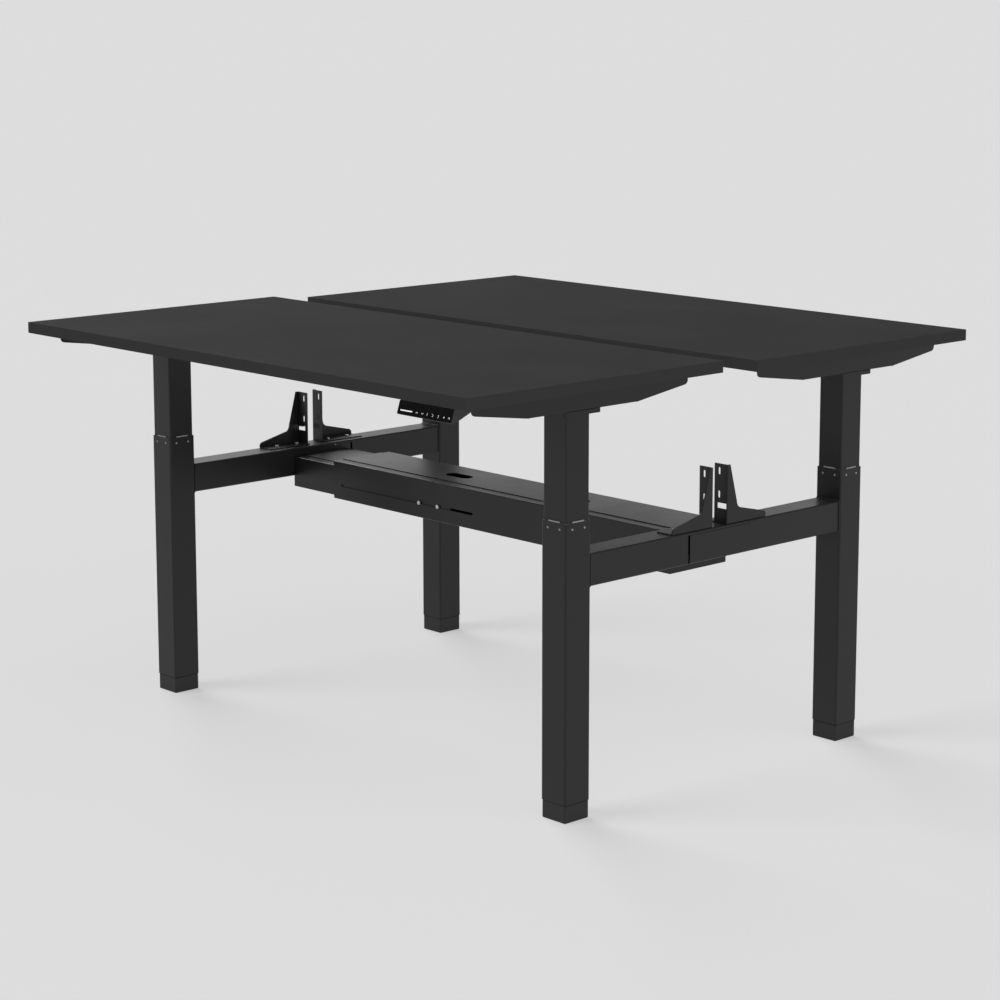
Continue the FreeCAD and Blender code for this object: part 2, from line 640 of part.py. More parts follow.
def tray_bolts():
    """Clamp bolts through the slots, and the bolts that hold the tray's ends to the beams."""
    bolts = []
    for sy in (-1, 1):
        for x in CLAMP_X:
            bolt = hex_bolt(M6_R - 0.1, x, 0, 0, 8.0, True)
            bolt.rotate(V(x, 0, 0), V(1, 0, 0), 90 * sy)
            bolt.translate(V(0, sy * TRAY_HALF, SLOT_Z))
            bolts.append(bolt)
        for sx in (-1, 1):
            bolt = hex_bolt(M6_R, 0, 0, 0, TRAY_WALL + BEAM_WALL, True)
            bolt.rotate(V(0, 0, 0), V(0, 1, 0), 90 * sx)
            bolt.translate(V(sx * (BEAM_IN - TRAY_WALL), sy * END_BOLT_Y, END_BOLT_Z))
            bolts.append(bolt)
    return group(bolts)


def lid(x0, x1, z, lip_high):
    """Flat lid on the rims, with two lips that drop between them."""
    panel = box(x0, x1, -LID_HALF, LID_HALF, z, z + LID_THICK)
    for sy in (-1, 1):
        out = sy * (TRAY_RIM - LID_PLAY)
        panel = panel.fuse(box(x0 + 5, x1 - 5, out, out - sy * LID_THICK, z - lip_high, z))
    return panel


def lid_long():
    panel = lid(TRAY_LEFT_END, BEAM_IN - LID_END_PLAY, TRAY_TOP, LID_LIP)
    r = PORT_WIDE / 2
    for x in PORT_X:
        reach = PORT_LONG / 2 - r
        panel = panel.cut(box(x - reach, x + reach, -r, r, TRAY_TOP - 1, TRAY_TOP + 5))
        for end in (x - reach, x + reach):
            panel = panel.cut(rod(r, end, 0, TRAY_TOP - 1, TRAY_TOP + 5))
    return panel


# ---------------------------------------------------------------- screen brackets
def on_fold(edge, out, inner, low):
    """True for the upright fold and the fold along the base, both on the bracket's outer face."""
    b = edge.BoundBox
    if b.XLength > 0.01 or abs(b.XMin - out) > 0.01:
        return False
    upright = b.YLength < 0.01 and abs(b.YMin - inner) < 0.01
    along = b.ZLength < 0.01 and abs(b.ZMin - low) < 0.01
    return upright or along


def bracket(sx, sy):
    """Folded sheet: a base on the beam, a gusset along it and an upright flange for the screen."""
    out = sx * (BEAM_OUT - BRACKET_EDGE)
    base_z = BEAM_TOP
    inner, foot_y, top = BRACKET_Y, BRACKET_FOOT, BEAM_TOP + BRACKET_HIGH
    side = [(inner, base_z), (inner, top), (inner + 9.0, top), (inner + 31.0, base_z + 46.0),
            (inner + 34.5, base_z + 36.5, inner + 43.0, base_z + 31.5), (foot_y - 5.0, base_z + 14.0),
            (foot_y, base_z + 9.0), (foot_y, base_z)]
    if sy < 0:
        side = flip_y(side)
    web = plate_yz(side, out, out - sx * BRACKET_SHEET)
    y0, y1 = sy * inner, sy * (inner + BRACKET_SHEET)
    base = box(out, out - sx * BRACKET_BASE, y0, sy * foot_y, base_z, base_z + BRACKET_SHEET)
    flange = box(out, out - sx * BRACKET_FLANGE, y0, y1, base_z, top)
    slot_x = out - sx * SCREEN_SLOT_IN
    reach = SCREEN_SLOT_LONG / 2 - SCREEN_SLOT_R
    for z in SCREEN_SLOT_Z:
        flange = flange.cut(box(slot_x - SCREEN_SLOT_R, slot_x + SCREEN_SLOT_R, y0 - 5, y1 + 5,
                                base_z + z - reach, base_z + z + reach))
        for end in (z - reach, z + reach):
            flange = flange.cut(Part.makeCylinder(SCREEN_SLOT_R, 30, V(slot_x, sy * inner - 15, base_z + end),
                                                  V(0, 1, 0)))
    body = web.fuse(base).fuse(flange).removeSplitter()
    body = body.makeFillet(BRACKET_FOLD, [e for e in body.Edges if on_fold(e, out, y0, base_z)])
    window = box(out - sx * BRACKET_SHEET, out - sx * (BRACKET_FLANGE - 8.0), y0 - 5, y1 + 5,
                 base_z + WINDOW_LOW, base_z + WINDOW_LOW + WINDOW_HIGH)
    body = body.cut(window)
    tab_top = base_z + WINDOW_LOW + WINDOW_HIGH
    tab = box(out - sx * 12.0, out - sx * (BRACKET_FLANGE - 8.0), y1 - sy * BRACKET_SHEET, y1 + sy * 9.0,
              tab_top, tab_top + BRACKET_SHEET)
    body = body.fuse(tab)
    for y in BRACKET_BOLT_Y:
        body = body.cut(rod(M6_R + HOLE_PLAY, bracket_bolt_x(sx), sy * y, base_z - 1,
                            base_z + BRACKET_SHEET + 1))
    return body.removeSplitter()


def bracket_bolts():
    return group([hex_bolt(M6_R, bracket_bolt_x(sx), sy * y, BEAM_TOP + BRACKET_SHEET,
                           BRACKET_SHEET + BEAM_WALL + 1, False)
                  for sx in (-1, 1) for sy in (-1, 1) for y in BRACKET_BOLT_Y])


# ---------------------------------------------------------------- all nodes
def build():
    nodes = {}
    columns, nuts, bushes = [], [], []
    for desk, (sy, under) in DESKS.items():
        y, mid_y = sy * LEG_Y, sy * ARM_Y
        plates = []
        for side, sx in SIDES.items():
            x = sx * LEG_X
            leg = desk + "_" + side
            nodes["lower_tube_" + leg] = lower_tube(x, y)
            nodes["foot_" + leg] = foot(x, y)
            nodes["upper_tube_" + leg] = upper_tube(x, y, under)
            nodes["spindle_" + leg] = spindle(x, y, under)
            nodes["side_arm_" + leg] = arm(x, y, mid_y, sx, under)
            nodes["gearmotor_" + leg] = gearmotor(x, y, sx, under)
            columns.append(push_column(x, y))
            nuts.append(spindle_nut(x, y))
            bushes.append(glide_bush(x, y))
            plates.append(leg_plate(x, y, sx, under))
        nodes["desktop_" + desk] = desktop(sy, under)
        nodes["leg_plates_" + desk] = group(plates)
        nodes["top_rails_" + desk] = top_rails(mid_y, under)
        nodes["fixing_screws_" + desk] = fixing_screws(y, mid_y, under)
        case, glass = handset(under)
        cpu = control_box(BOX_X, -ARM_Y, under)
        if sy > 0:
            case, glass, cpu = turned(case), turned(glass), turned(cpu)
        nodes["handset_case_" + desk] = case
        nodes["handset_glass_" + desk] = glass
        nodes["control_box_" + desk] = cpu
    nodes["push_columns"] = group(columns)
    nodes["spindle_nuts"] = group(nuts)
    nodes["glide_bushes"] = group(bushes)
    # the left beam is the right one turned half round, so its seam is nearer the rear desk
    nodes["crossbeam_front_right"], nodes["crossbeam_rear_right"] = front_beam(), rear_beam()
    nodes["crossbeam_front_left"] = turned(nodes["crossbeam_rear_right"])
    nodes["crossbeam_rear_left"] = turned(nodes["crossbeam_front_right"])
    nodes["beam_splice_right"] = splice()
    nodes["beam_splice_left"] = turned(nodes["beam_splice_right"])
    for side, sx in SIDES.items():
        nodes["screen_bracket_front_" + side] = bracket(sx, -1)
        nodes["screen_bracket_rear_" + side] = bracket(sx, 1)
    nodes["bracket_bolts"] = bracket_bolts()
    nodes["splice_bolts"] = splice_bolts()
    nodes["tray_outer"] = tray_outer()
    nodes["tray_inner"] = tray_inner()
    nodes["tray_bolts"] = tray_bolts()
    nodes["tray_lid_long"] = lid_long()
    nodes["tray_lid_short"] = lid(-BEAM_IN + LID_END_PLAY, TRAY_LEFT_END - LID_END_PLAY, INNER_TOP,
                                  LID_LIP_SHORT)
    return nodes


os.makedirs("parts", exist_ok=True)
NODES = build()
for name, shape in NODES.items():
    shape.exportStep("parts/" + name + ".step")
    state = "valid" if shape.isValid() else "NOT VALID"
    print(f"{name:32s} {len(shape.Solids):2d} solid(s) {shape.Volume / 1000:10.1f} cm3  {state}")
print(len(NODES), "nodes")
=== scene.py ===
# %% [markdown]
# # A back-to-back sit-stand desk
# Two desktops stand on four telescoping legs, and end beams and a cable tray join the legs. The
# hard parts come ready made, as named nodes in metres, each on the body that it moves with. This
# lesson gives them their finishes, and adds the small things that a finish can't give: cut threads,
# forged bolt heads, weld beads and the lit signs on the handsets.

# %% Load the frame
import math
import bpy
import numpy as np
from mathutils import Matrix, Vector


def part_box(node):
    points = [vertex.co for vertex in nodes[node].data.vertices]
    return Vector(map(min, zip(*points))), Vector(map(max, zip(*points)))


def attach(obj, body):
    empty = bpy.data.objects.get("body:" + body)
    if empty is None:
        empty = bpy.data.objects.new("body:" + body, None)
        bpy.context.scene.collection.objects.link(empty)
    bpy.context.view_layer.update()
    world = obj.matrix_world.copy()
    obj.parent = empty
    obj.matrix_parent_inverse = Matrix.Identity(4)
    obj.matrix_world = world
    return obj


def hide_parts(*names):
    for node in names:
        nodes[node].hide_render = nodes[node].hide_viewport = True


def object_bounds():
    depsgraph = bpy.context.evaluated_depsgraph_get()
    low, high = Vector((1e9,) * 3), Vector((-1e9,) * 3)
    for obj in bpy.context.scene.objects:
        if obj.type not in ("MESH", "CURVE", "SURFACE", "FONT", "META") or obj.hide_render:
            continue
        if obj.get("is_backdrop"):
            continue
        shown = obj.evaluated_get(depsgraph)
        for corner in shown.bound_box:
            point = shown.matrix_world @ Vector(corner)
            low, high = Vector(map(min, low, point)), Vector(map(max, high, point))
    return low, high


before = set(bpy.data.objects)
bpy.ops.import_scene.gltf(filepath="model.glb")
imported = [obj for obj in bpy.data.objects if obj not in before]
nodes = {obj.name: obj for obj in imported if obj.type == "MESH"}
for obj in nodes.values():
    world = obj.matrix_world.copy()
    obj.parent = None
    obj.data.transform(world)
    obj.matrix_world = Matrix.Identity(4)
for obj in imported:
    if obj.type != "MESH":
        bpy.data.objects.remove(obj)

cad_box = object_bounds()
LEGS = [desk + "_" + side for desk in ("front", "rear") for side in ("left", "right")]
print("far corner of the box:", [round(v, 3) for v in cad_box[1]])

# %% [markdown]
# ## The camera
# A long lens from the front right corner keeps the legs nearly upright. A short lens would make the
# near leg look huge, and a lens with no shift would need to point down and lean the legs outwards.
# So it looks a little down, and a small shift brings the desk to the middle of the frame.

# %% Camera
SENSOR = 36.0
FOCAL_LENGTH = 92.9
SHIFT = (-0.0142, -0.0783)
STAND = (4.2896, -3.9546, 1.6832)
TILT = 80.3
TURN = 46.9
lens = bpy.data.cameras.new("camera")
lens.sensor_width = SENSOR
lens.lens = FOCAL_LENGTH
lens.shift_x, lens.shift_y = SHIFT
camera = bpy.data.objects.new("camera", lens)
camera.location = STAND
camera.rotation_euler = (math.radians(TILT), 0.0, math.radians(TURN))
bpy.context.collection.objects.link(camera)
bpy.context.scene.camera = camera
print("camera sees", round(2 * math.degrees(math.atan(SENSOR / 2 / lens.lens)), 1), "degrees")

# %% [markdown]
# ## Surfaces from numpy
# A turned, threaded or swept piece is a grid of points: rows along it and columns round it. One
# helper turns such a grid into a mesh. The columns close into a ring, and each open end is closed
# by a fan to one point in its middle, so every piece is watertight and its faces point outwards.


# %% Mesh helpers
def ring_faces(rows, columns, closed):
    """Quads between neighbouring rows and columns of a grid. Corner (i, j) has index
    i x columns + j. The column after the last is the first, and so is the row after the last if
    the path is closed."""
    i = np.arange(rows if closed else rows - 1)[:, None]
    j = np.arange(columns)[None, :]
    a = i * columns + j
    b = i * columns + (j + 1) % columns
    up = ((i + 1) % rows - i) * columns
    return np.stack([a, b, b + up, a + up], axis=-1).reshape(-1, 4)


def surface(grid, closed=False):
    """Points and faces of one grid (rows, columns, 3). An open grid gets a fan at each end: every
    edge of the first and the last row is joined to the mean of that row."""
    rows, columns = grid.shape[:2]
    points = grid.reshape(-1, 3)
    quads = ring_faces(rows, columns, closed)
    if closed:
        return points, quads, np.zeros((0, 3), int)
    j = np.arange(columns)
    after = (j + 1) % columns
    first = np.stack([after, j, np.full(columns, len(points))], axis=-1)
    top = (rows - 1) * columns
    last = np.stack([top + j, top + after, np.full(columns, len(points) + 1)], axis=-1)
    points = np.vstack([points, grid[0].mean(axis=0), grid[-1].mean(axis=0)])
    return points, quads, np.vstack([first, last])


def make_piece(name, parts, smooth=35.0):
    """One object from several (points, quads, triangles); edges above smooth degrees stay sharp."""
    offsets = np.cumsum([0] + [len(p) for p, _, _ in parts])
    points = np.vstack([p for p, _, _ in parts])
    quads = np.vstack([q + o for (_, q, _), o in zip(parts, offsets)])
    tris = np.vstack([t + o for (_, _, t), o in zip(parts, offsets)])
    mesh = bpy.data.meshes.new(name)
    mesh.vertices.add(len(points))
    mesh.vertices.foreach_set("co", points.ravel())
    corners = np.concatenate([quads.ravel(), tris.ravel()])
    sizes = np.concatenate([np.full(len(quads), 4), np.full(len(tris), 3)])
    mesh.loops.add(len(corners))
    mesh.loops.foreach_set("vertex_index", corners)
    mesh.polygons.add(len(sizes))
    mesh.polygons.foreach_set("loop_start", np.cumsum(sizes) - sizes)
    mesh.polygons.foreach_set("use_smooth", np.ones(len(sizes), bool))
    mesh.update(calc_edges=True)
    mesh.validate()
    mesh.set_sharp_from_angle(angle=math.radians(smooth))
    piece = bpy.data.objects.new(name, mesh)
    bpy.context.collection.objects.link(piece)
    print(f"{name}: {len(points)} points, {len(sizes)} faces")
    return piece


# %% [markdown]
# ## Where the fasteners are
# A node can hold several bolts. Its mesh is loose triangles, so the bolts are told apart here:
# corners at the same place are welded, and each triangle passes its lowest label on to its corners
# until nothing changes. Each bolt's own box then gives its place, its axis and its length.


# %% Solids of a node
def solid_boxes(name):
    """Lowest and highest corner of each separate solid of a node, as an array (solids, 2, 3)."""
    mesh = nodes[name].data
    points = np.empty(len(mesh.vertices) * 3)
    mesh.vertices.foreach_get("co", points)
    points = points.reshape(-1, 3)
    corners = np.empty(len(mesh.loops), int)
    mesh.loops.foreach_get("vertex_index", corners)
    _, welded = np.unique(np.round(points * 1e5).astype(int), axis=0, return_inverse=True)
    welded = welded.ravel()
    triangles = welded[corners].reshape(-1, 3)
    label = np.arange(welded.max() + 1)
    while True:
        before = label.copy()
        np.minimum.at(label, triangles, label[triangles].min(axis=1, keepdims=True))
        if (label == before).all():
            break
    mine = label[welded]
    solids = [points[mine == k] for k in np.unique(mine)]
    return np.array([[solid.min(axis=0), solid.max(axis=0)] for solid in solids])


bolt_boxes = {name: solid_boxes(name) for name in ("bracket_bolts", "tray_bolts")}
print({name: len(found) for name, found in bolt_boxes.items()})

# %% [markdown]
# ## Shader maths
# A node tree is quicker to read as sums than as boxes and wires. `Value` wraps one output, so that
# `1 - mask * 0.3` adds its own Math nodes, and `Finish` is one material with a single way to add
# any node: its type, its settings, then what goes into it.


# %% Shader helpers
NOISE_ROUGHNESS = 0.55


class Value:
    """One output in a node tree that can be used in sums with other outputs or with numbers."""

    def __init__(self, finish, socket):
        self.finish, self.socket = finish, socket

    def maths(self, operation, other=0.0, swapped=False):
        pair = [other, self] if swapped else [self, other]
        return self.finish.add("ShaderNodeMath", {"operation": operation}, pair)

    def __add__(self, other):
        return self.maths("ADD", other)

    def __sub__(self, other):
        return self.maths("SUBTRACT", other)

    def __rsub__(self, other):
        return self.maths("SUBTRACT", other, swapped=True)

    def __mul__(self, other):
        return self.maths("MULTIPLY", other)

    def __lt__(self, other):
        return self.maths("LESS_THAN", other)

    def __abs__(self):
        return self.maths("ABSOLUTE")

    __radd__ = __add__
    __rmul__ = __mul__


class Finish:
    """A material that is built up from nodes and read in Object coordinates, in metres."""

    def __init__(self, name, **plain):
        self.material = bpy.data.materials.new(name)
        self.material.use_nodes = True
        self.tree = self.material.node_tree
        self.shader = self.tree.nodes["Principled BSDF"]
        for socket, value in plain.items():
            self.shader.inputs[socket.replace("_", " ")].default_value = value
        self.place = self.add("ShaderNodeTexCoord", out="Object")

    def add(self, kind, settings=None, inputs=(), out=0):
        """Adds a node and gives back one of its outputs. inputs is a list, in order, or a dict."""
        node = self.tree.nodes.new(kind)
        for key, value in (settings or {}).items():
            setattr(node, key, value)
        pairs = inputs.items() if isinstance(inputs, dict) else enumerate(inputs)
        for key, value in pairs:
            if isinstance(value, Value):
                self.tree.links.new(value.socket, node.inputs[key])
            else:
                node.inputs[key].default_value = value
        return Value(self, node.outputs[out])

    def feed(self, **links):
        """Joins outputs to the shader, such as Roughness=rough."""
        for socket, value in links.items():
            self.tree.links.new(value.socket, self.shader.inputs[socket.replace("_", " ")])

    def stretched(self, scale):
        """The place, with each axis scaled, so that a pattern is longer one way."""
        return self.add("ShaderNodeMapping", {"vector_type": "POINT"},
                        {"Vector": self.place, "Scale": scale})

    def noise(self, scale, detail=2.0, place=None):
        return self.add("ShaderNodeTexNoise", {},
                        {"Vector": place or self.place, "Scale": scale, "Detail": detail,
                         "Roughness": NOISE_ROUGHNESS}, "Fac")

    def cells(self, scale, out="Distance"):
        return self.add("ShaderNodeTexVoronoi", {}, {"Vector": self.place, "Scale": scale}, out)

    def between(self, mask, low, high):
        """Colour that goes from low to high as mask goes from 0 to 1."""
        return self.add("ShaderNodeMix", {"data_type": "RGBA"}, {0: mask, 6: low, 7: high}, 2)

    def spread(self, value, low, high):
        """value, stretched so that low becomes 0 and high becomes 1, and cut off beyond them."""
        return self.add("ShaderNodeMapRange", {}, [value, low, high, 0.0, 1.0])

    def bump(self, height, depth, strength=1.0):
        relief = self.add("ShaderNodeBump", {},
                          {"Strength": strength, "Distance": depth, "Height": height})
        self.feed(Normal=relief)


def grey(level, warmth=0.0):
    """Neutral colour of an 8-bit screen level, as linear light; warmth tips it from blue to red."""
    linear = ((level / 255 + 0.055) / 1.055) ** 2.4
    return (linear * (1 + warmth), linear, linear * (1 - warmth), 1.0)


# %% [markdown]
# ## Powder coat
# The steel frame is sprayed with powder and baked. The paint flows into a skin with a faint orange
# peel about a millimetre across, which breaks up every reflection, and it is a touch thinner and
# smoother in places. Bump from two sizes of noise gives the peel, and slow noise moves the tone and
# the gloss. Real displacement would cost millions of faces for the same look.


# %% Powder coat
PEEL_SIZE = 620.0
PEEL_DEPTH = 0.00006
PEEL_BUMP = 0.7
GRIT_FINER = 3.4
DRIFT_SIZE = 5.5
FRAME_LEVEL = 20
TRAY_LEVEL = 18


def powder_coat(name, level, roughness, peel=1.0):
    coat = Finish(name, Specular_IOR_Level=0.36)
    flow = coat.noise(PEEL_SIZE, 1.0)
    grit = coat.noise(PEEL_SIZE * GRIT_FINER, 1.0)
    drift = coat.spread(coat.noise(DRIFT_SIZE, 3.0), 0.3, 0.7)
    coat.feed(Base_Color=coat.between(drift, grey(level * 0.95), grey(level * 1.05)),
              Roughness=roughness + 0.07 * (drift - 0.5) + 0.10 * (grit - 0.5))
    coat.bump(flow + 0.35 * grit, PEEL_DEPTH * peel, PEEL_BUMP)
    return coat.material


frame_black = powder_coat("frame_black", FRAME_LEVEL, 0.36)
tray_black = powder_coat("tray_black", TRAY_LEVEL, 0.34, 0.7)
print("powder coats:", frame_black.name, tray_black.name)

# %% [markdown]
# ## Laminated board
# The desktops are chipboard with a hard matt laminate and a thin plastic band round the edge. The
# laminate has a fine pebble, made here by small cells, and a matt sheen that changes slightly where
# hands have rested. The band is smoother, and its glue line is a hair of shadow a millimetre in
# from the edge. The mask comes from the board's own size, so it sits right on each board.

# %% Laminate
BAND = 0.0010
GLUE_LINE = 0.00022
PEBBLE_SIZE = 1100.0
PEBBLE_DEPTH = 0.00005
SKIN_LEVELS = (44, 46)
BAND_LEVEL = 55
GLUE_LEVEL = 26


def laminate(name, node):
    low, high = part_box(node)
    board = Finish(name, Specular_IOR_Level=0.015)
    centre = [-(low[k] + high[k]) / 2 for k in range(3)]
    local = board.add("ShaderNodeMapping", {}, {"Vector": board.place, "Location": centre})
    split = board.add("ShaderNodeSeparateXYZ", {}, [local])
    across = Value(board, split.socket.node.outputs["Y"])
    inset_x = (high[0] - low[0]) / 2 - abs(split)
    inset_y = (high[1] - low[1]) / 2 - abs(across)
    inset = inset_x.maths("MINIMUM", inset_y)
    band = inset < BAND
    glue = abs(inset - BAND) < GLUE_LINE / 2
    pebble = board.cells(PEBBLE_SIZE)
    touch = board.spread(board.noise(3.2, 4.0), 0.35, 0.75)
    skin = board.between(touch, *(grey(level) for level in SKIN_LEVELS))
    edged = board.between(band, skin, grey(BAND_LEVEL))
    board.feed(Base_Color=board.between(glue, edged, grey(GLUE_LEVEL)),
               Roughness=0.72 - 0.05 * touch - 0.10 * band + 0.06 * (pebble - 0.4))
    board.bump(pebble * (1 - band) - 0.6 * glue, PEBBLE_DEPTH, 0.6)
    return board.material


laminate_front = laminate("laminate_front", "desktop_front")
laminate_rear = laminate("laminate_rear", "desktop_rear")
print("edge band", BAND * 1000, "mm")

# %% [markdown]
# ## Moulded plastics
# Four plastics: the black shoes that stand on the floor, the pale slippery bush in the top of each
# lower tube, the nut on each screw, and the handset and control box cases. All have the fine spark
# texture of a steel mould. The shoes are scuffed and dusty near the floor.


# %% Moulded plastic
FINE_SPARK = 1500.0
SOFT_SPARK = 900.0
SPARK_DEPTH = 0.00005
SCUFF_HEIGHT = 0.03


def moulded(name, level, roughness, texture=FINE_SPARK, warmth=0.0, scuff_height=0.0):
    shell = Finish(name, Specular_IOR_Level=0.45)
    spark = shell.noise(texture, 2.0)
    cloud = shell.spread(shell.noise(14.0, 3.0), 0.3, 0.7)
    colour = shell.between(cloud, grey(level * 0.96, warmth), grey(level * 1.04, warmth))
    rough = roughness + 0.10 * (spark - 0.5) + 0.05 * cloud
    if scuff_height:
        split = shell.add("ShaderNodeSeparateXYZ", {}, [shell.place], "Z")
        low = shell.spread(scuff_height - split, 0.0, scuff_height)
        streaks = shell.noise(90.0, 5.0, shell.stretched((1.0, 1.0, 3.0)))
        scuffs = shell.spread(streaks, 0.5, 0.72) * low
        colour = shell.between(0.5 * scuffs, colour, grey(level * 1.9))
        rough = rough + 0.25 * scuffs
    shell.feed(Base_Color=colour, Roughness=rough)
    shell.bump(spark, SPARK_DEPTH, 0.6)
    return shell.material


shoe_plastic = moulded("shoe_plastic", 18, 0.50, scuff_height=SCUFF_HEIGHT)
glide_plastic = moulded("glide_plastic", 140, 0.45, SOFT_SPARK, 0.01)
nut_plastic = moulded("nut_plastic", 214, 0.34, SOFT_SPARK, 0.02)
case_plastic = moulded("case_plastic", 34, 0.48)
print("plastics made")

# %% [markdown]
# ## Metals
# The lifting screws are rolled bright steel with a film of grease. The bolts that show are zinc
# plated: pale, faintly blue, with soft crystals and small dull spots. The wood screws and the bolts
# inside the beams are blackened. The gearbox is a painted casting, grainier than sheet steel.


# %% Metals
CRYSTAL_SIZE = 520.0
PLATE_GRAIN = 1800.0
PLATE_DEPTH = 0.00003
SAND_SIZE = 420.0
SAND_DEPTH = 0.00018


def plated(name, level, roughness, spot):
    metal = Finish(name, Metallic=1.0)
    crystal = metal.cells(CRYSTAL_SIZE, "Color")
    split = metal.add("ShaderNodeSeparateColor", {}, [crystal])
    dull = metal.spread(metal.noise(spot, 4.0), 0.52, 0.70)
    tone = metal.between(split, grey(level * 0.94, -0.01), grey(level * 1.04, -0.02))
    metal.feed(Base_Color=metal.between(0.5 * dull, tone, grey(level * 0.72, 0.02)),
               Roughness=roughness + 0.08 * split + 0.22 * dull)
    metal.bump(metal.noise(PLATE_GRAIN), PLATE_DEPTH, 0.5)
    return metal.material


def casting(name, level):
    cast = Finish(name, Specular_IOR_Level=0.45)
    sand = cast.noise(SAND_SIZE, 4.0)
    hollow = cast.spread(sand, 0.35, 0.65)
    cast.feed(Base_Color=cast.between(hollow, grey(level * 0.85), grey(level * 1.1)),
              Roughness=0.42 + 0.20 * hollow)
    cast.bump(sand, SAND_DEPTH, 0.8)
    return cast.material


zinc_bolts = plated("zinc_bolts", 222, 0.26, 300.0)
black_bolts = plated("black_bolts", 84, 0.34, 300.0)
bright_steel = plated("bright_steel", 190, 0.20, 120.0)
motor_black = casting("motor_black", 40)
print("metals made")

# %% [markdown]
# ## Touch glass
# The handset's face is black behind clear glass. A thin gloss coat over a dark base gives the glass
# a little shine, and faint smears of roughness keep it from looking like a hole. The
# signs behind it are lit, so they are given light of their own, uneven like a small lamp through
# a printed window.

# %% Glass and lit signs
SMEAR_SIZE = 60.0
GLOW_SIZE = 400.0
glass = Finish("touch_glass", Coat_Weight=0.06, Coat_Roughness=0.03, Specular_IOR_Level=0.10)
smear = glass.spread(glass.noise(SMEAR_SIZE, 4.0), 0.45, 0.75)
glass.feed(Base_Color=glass.between(smear, grey(5), grey(8)), Roughness=0.10 + 0.15 * smear)
touch_glass = glass.material

lit = Finish("lit_signs", Roughness=0.5, Emission_Strength=1.0)
glow = lit.spread(lit.noise(GLOW_SIZE, 2.0), 0.2, 0.8)
lit.feed(Base_Color=lit.between(glow, grey(200), grey(225)),
         Emission_Color=lit.between(glow, grey(125), grey(165)))
lit_signs = lit.material
print("glass and signs made")

# %% [markdown]
# ## Give each node its finish
# The finish follows what the piece is made of. Names say that here: the first rule whose word is
# in the node's name wins.

# %% Assign finishes
RULES = [("desktop_front", laminate_front), ("desktop_rear", laminate_rear),
         ("foot", shoe_plastic), ("glide", glide_plastic), ("nuts", nut_plastic),
         ("glass", touch_glass), ("case", case_plastic), ("control_box", case_plastic),
         ("gearmotor", motor_black), ("spindle", bright_steel), ("push_columns", bright_steel),
         ("splice_bolts", black_bolts), ("bolts", zinc_bolts), ("screws", black_bolts),
         ("tray", tray_black), ("", frame_black)]
for name, node in nodes.items():
    finish = next(material for word, material in RULES if word in name)
    if not node.material_slots:
        node.data.materials.append(finish)
    for slot in node.material_slots:
        slot.material = finish
print("finishes given to", len(nodes), "nodes")

# %% [markdown]
# ## Bolts
# A bought bolt is forged: six flats, a top turned to a cone so that only the tips of the flats are
# cut, a thin round bearing face, and a rolled thread. All of it is one radius that depends on the
# angle and the height. For the flats it is the flat distance over the cosine of the angle to the
# nearest flat, for the cone a radius that shrinks near the top, and the smaller of the two is kept.


# %% Bolt shape
AROUND = 48
CHAMFER = 0.42
THREAD_STEP = 0.00018
THREAD_TIP = 0.78
WASHER_FACE = 0.0003
NECK = 0.96
CONE_FROM = 0.62
CONE_WIDE = 1.175
DISH_WIDE = 0.62
DISH_AT = 0.97


def hex_radius(angle, flat):
    """Distance from the axis to a hexagon: flat / cos(angle from the nearest flat's middle)."""
    return flat / np.cos((angle + math.pi / 6) % (math.pi / 3) - math.pi / 6)


def thread_radius(angle, height, radius, pitch, starts=1, depth=0.6):
    """Radius of a thread: it falls by depth x pitch in a rounded wave as
    height / pitch - starts x turn goes from one crest to the next."""
    phase = height / pitch - starts * angle / (2 * math.pi)
    wave = 0.5 - 0.5 * np.cos(2 * math.pi * phase)
    return radius - depth * pitch * np.clip(1.6 * wave - 0.3, 0, 1)


def bolt(shank, head_corner, head_high, length, pitch):
    """Grid of a bolt that stands on its thread's end at height 0, with its head at the top."""
    angle = np.arange(AROUND) * 2 * math.pi / AROUND
    flat = head_corner * math.cos(math.pi / 6)
    rows = []
    for height in np.arange(0.0, length - THREAD_STEP, THREAD_STEP):
        end = min(1.0, THREAD_TIP + (1 - THREAD_TIP) * height / pitch)
        rows.append((height, thread_radius(angle, height, shank, pitch) * end))
    rows.append((length, np.full(AROUND, shank)))
    rows.append((length, np.full(AROUND, flat * NECK)))
    rows.append((length + WASHER_FACE, np.full(AROUND, flat * (1 + NECK) / 2)))
    rows.append((length + WASHER_FACE, hex_radius(angle, flat)))
    for part in np.linspace(0.3, 1.0, 8):
        cone = flat * (CONE_WIDE - CHAMFER * max(0.0, part - CONE_FROM))
        rows.append((length + head_high * part, np.minimum(hex_radius(angle, flat), cone)))
    rows.append((length + head_high * DISH_AT, np.full(AROUND, flat * DISH_WIDE)))
    return np.stack([np.stack([r * np.cos(angle), r * np.sin(angle), np.full(AROUND, h)], axis=-1)
                     for h, r in rows])


def lay_along(grid, foot, way):
    """Turns a grid that grows along +Z so that it grows from foot along the unit vector way."""
    way = np.asarray(way, float)
    side = np.cross(way, (0.0, 0.0, 1.0)) if abs(way[2]) < 0.9 else np.array([1.0, 0.0, 0.0])
    return np.asarray(foot) + grid @ np.stack([side, np.cross(way, side), way])


# %% [markdown]
# Each CAD bolt's box gives all that the shape needs: its widest side across the bolt is the head
# from corner to corner, and its length is the whole bolt. The new bolts stand in for the plain
# ones, which stay for collisions.


# %% Bolts in their places
CORNER_TO_SHANK = 1.75
HEAD_TO_SHANK = 1.2
BOLT_PITCH = 0.0010
TRAY_END = 0.5


